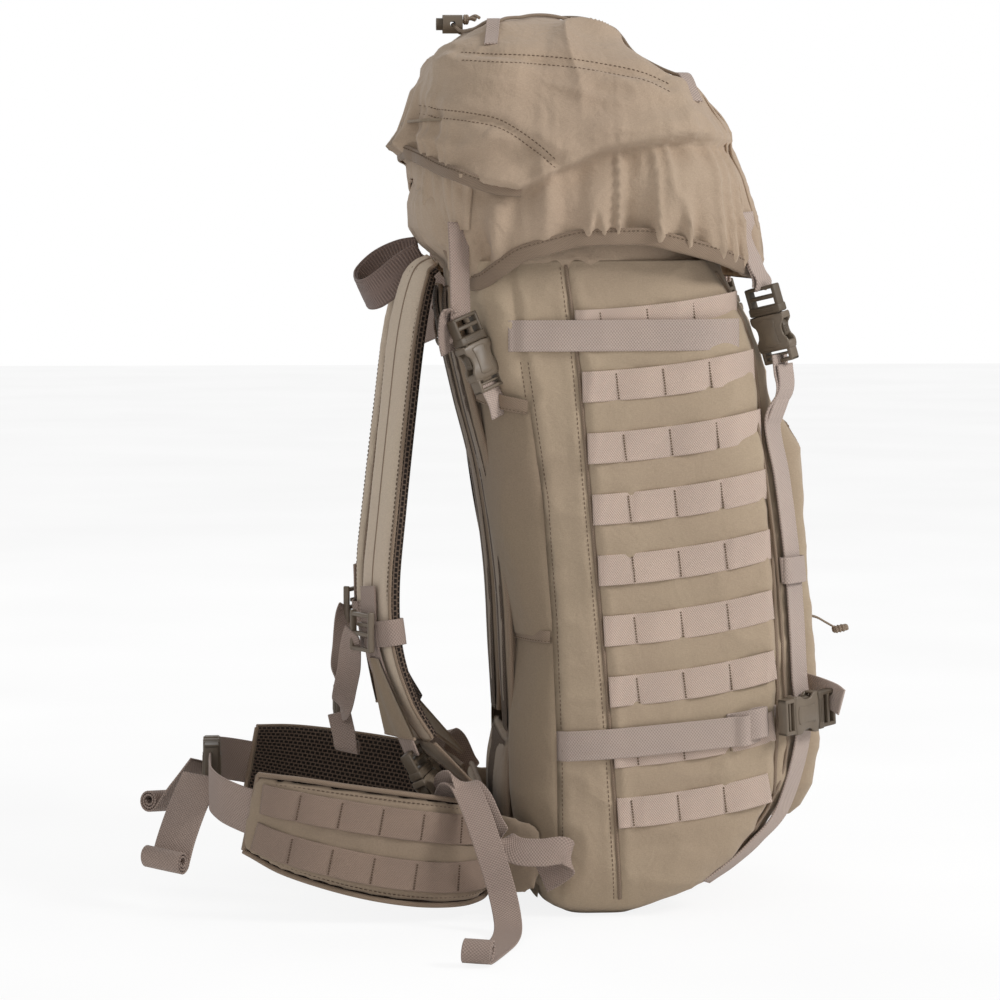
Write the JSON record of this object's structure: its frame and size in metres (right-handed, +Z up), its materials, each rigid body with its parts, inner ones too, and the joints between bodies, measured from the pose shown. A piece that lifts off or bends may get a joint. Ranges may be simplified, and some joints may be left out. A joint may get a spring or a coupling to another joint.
{
  "type": "hunting backpack",
  "caption": "Tall framed load-carrying pack with a hinged lid pocket, webbing ladders on both sides, padded shoulder straps with a chest strap, and an opening padded hip belt.",
  "frame": {"origin": "on the ground under the bag, on its plane of symmetry", "axes": "+Z up; +Y forward as worn, towards the shoulder straps; +X to the wearer's right"},
  "size_m": [0.7696, 0.603, 0.7572],
  "materials": {
    "pack_fabric": "matt plain-weave nylon",
    "lid_fabric": "matt plain-weave nylon",
    "webbing": "ribbed nylon webbing",
    "ladder_webbing": "ribbed nylon webbing",
    "binding": "woven tape",
    "spacer_mesh": "open hexagonal mesh",
    "buckle": "fine-textured moulding",
    "cord": "braided",
    "frame_plastic": "smooth sheet",
    "stay_alloy": "brushed",
    "spring_steel": "bright wire",
    "zip": "moulded coil and woven tape"
  },
  "bodies": {
    "bag": {"bag_shell": "pack_fabric", "bag_collar": "lid_fabric", "collar_drawcord": "cord", "frame_sheet": "frame_plastic", "frame_stays": "stay_alloy", "back_pads": "spacer_mesh", "side_ladders": "ladder_webbing", "wand_pockets": "pack_fabric", "compression_straps": "webbing", "compression_buckle_sockets": "buckle", "compression_buckle_plugs": "buckle", "front_pocket": "pack_fabric", "pocket_zip": "zip", "front_straps": "webbing", "front_buckle_sockets": "buckle", "strap_keepers": "webbing", "lid_anchor_tabs": "webbing", "harness_corner_tabs": "pack_fabric", "adjuster_links": "webbing", "adjuster_tails": "webbing", "lumbar_belt": "pack_fabric"},
    "lid": {"lid_shell": "lid_fabric", "lid_floor": "pack_fabric", "lid_hem": "binding", "shock_cord": "cord", "cord_loops": "webbing", "cord_lock_barrel": "buckle", "cord_lock_spring": "spring_steel", "lid_front_straps": "webbing", "front_buckle_plugs": "buckle", "lid_rear_straps": "webbing", "rear_buckles": "buckle"},
    "cord_lock_button": {"cord_lock_plunger": "buckle"},
    "latch_left_outer": {"front_latch_left_outer": "buckle"},
    "latch_left_inner": {"front_latch_left_inner": "buckle"},
    "latch_right_outer": {"front_latch_right_outer": "buckle"},
    "latch_right_inner": {"front_latch_right_inner": "buckle"},
    "pocket_slider": {"zip_slider": "zip"},
    "slider_pull": {"zip_pull": "zip"},
    "haul_handle": {"haul_loop": "webbing"},
    "harness": {"shoulder_pads": "pack_fabric", "shoulder_linings": "spacer_mesh", "adjuster_straps": "webbing", "adjuster_buckles": "buckle"},
    "sternum": {"sternum_sliders": "buckle", "sternum_strap": "webbing", "sternum_buckle_socket": "buckle", "sternum_buckle_plug": "buckle"},
    "sternum_latch_top": {"sternum_latch_upper": "buckle"},
    "sternum_latch_bottom": {"sternum_latch_lower": "buckle"},
    "belt_left": {"belt_wing_left": "pack_fabric", "belt_strap_left": "webbing", "belt_buckle_plug": "buckle"},
    "belt_right": {"belt_wing_right": "pack_fabric", "belt_strap_right": "webbing", "belt_buckle_socket": "buckle"},
    "belt_latch_top": {"belt_latch_upper": "buckle"},
    "belt_latch_bottom": {"belt_latch_lower": "buckle"}
  },
  "joints": [
    {"name": "lid_fold", "type": "hinge", "parent": "bag", "child": "lid", "pos_m": [0, 0.176, 0.436], "axis": [-1, 0, 0], "range_deg": [0, 90]},
    {"name": "cord_lock_press", "type": "slide", "parent": "lid", "child": "cord_lock_button", "axis": [0, -1, 0], "range_m": [0, 0.003], "stiffness_N_per_m": 600, "springref_m": -0.0005, "deforming": ["cord_lock_spring"]},
    {"name": "front_left_press_inner", "type": "slide", "parent": "lid", "child": "latch_left_inner", "axis": [-0.7071, -0.6793, 0.1962], "range_m": [0, 0.003], "stiffness_N_per_m": 800, "springref_m": -0.0005},
    {"name": "front_left_press_outer", "type": "slide", "parent": "lid", "child": "latch_left_outer", "axis": [0.7071, 0.6793, -0.1962], "range_m": [0, 0.003], "stiffness_N_per_m": 800, "springref_m": -0.0005},
    {"name": "front_right_press_inner", "type": "slide", "parent": "lid", "child": "latch_right_inner", "axis": [0.7071, -0.6793, 0.1962], "range_m": [0, 0.003], "stiffness_N_per_m": 800, "springref_m": -0.0005},
    {"name": "front_right_press_outer", "type": "slide", "parent": "lid", "child": "latch_right_outer", "axis": [-0.7071, 0.6793, -0.1962], "range_m": [0, 0.003], "stiffness_N_per_m": 800, "springref_m": -0.0005},
    {"name": "zip_travel", "type": "slide", "parent": "bag", "child": "pocket_slider", "axis": [0, 0.0718, 0.9974], "range_m": [-0.07, 0.13]},
    {"name": "zip_pull_swing", "type": "hinge", "parent": "pocket_slider", "child": "slider_pull", "pos_m": [0, -0.10954, 0.2378], "axis": [1, 0, 0], "range_deg": [-20, 35]},
    {"name": "haul_loop_swing", "type": "hinge", "parent": "bag", "child": "haul_handle", "pos_m": [0, 0.224, 0.551], "axis": [1, 0, 0], "range_deg": [0, 20]},
    {"name": "harness_swing", "type": "hinge", "parent": "bag", "child": "harness", "pos_m": [0, 0.212, 0.556], "axis": [1, 0, 0], "range_deg": [0, 20], "deforming": ["adjuster_links"]},
    {"name": "sternum_slide", "type": "slide", "parent": "harness", "child": "sternum", "axis": [0, 0, 1], "range_m": [-0.02, 0.03]},
    {"name": "sternum_press_upper", "type": "slide", "parent": "sternum", "child": "sternum_latch_top", "axis": [0, 0, -1], "range_m": [0, 0.003], "stiffness_N_per_m": 800, "springref_m": -0.0005},
    {"name": "sternum_press_lower", "type": "slide", "parent": "sternum", "child": "sternum_latch_bottom", "axis": [0, 0, 1], "range_m": [0, 0.003], "stiffness_N_per_m": 800, "springref_m": -0.0005},
    {"name": "belt_open_left", "type": "hinge", "parent": "bag", "child": "belt_left", "pos_m": [-0.112, 0.176, 0.06], "axis": [0, 0, 1], "range_deg": [0, 20]},
    {"name": "belt_open_right", "type": "hinge", "parent": "bag", "child": "belt_right", "pos_m": [0.112, 0.176, 0.06], "axis": [0, 0, -1], "range_deg": [0, 20]},
    {"name": "belt_press_upper", "type": "slide", "parent": "belt_left", "child": "belt_latch_top", "axis": [0, 0, -1], "range_m": [0, 0.003], "stiffness_N_per_m": 800, "springref_m": -0.0005},
    {"name": "belt_press_lower", "type": "slide", "parent": "belt_left", "child": "belt_latch_bottom", "axis": [0, 0, 1], "range_m": [0, 0.003], "stiffness_N_per_m": 800, "springref_m": -0.0005}
  ],
  "couplings": [
    {"joint": "front_left_press_inner", "follows": "front_left_press_outer", "ratio": 1},
    {"joint": "front_right_press_inner", "follows": "front_right_press_outer", "ratio": 1},
    {"joint": "sternum_press_lower", "follows": "sternum_press_upper", "ratio": 1},
    {"joint": "belt_press_lower", "follows": "belt_press_upper", "ratio": 1},
    {"joint": "belt_open_right", "follows": "belt_open_left", "ratio": 1}
  ]
}
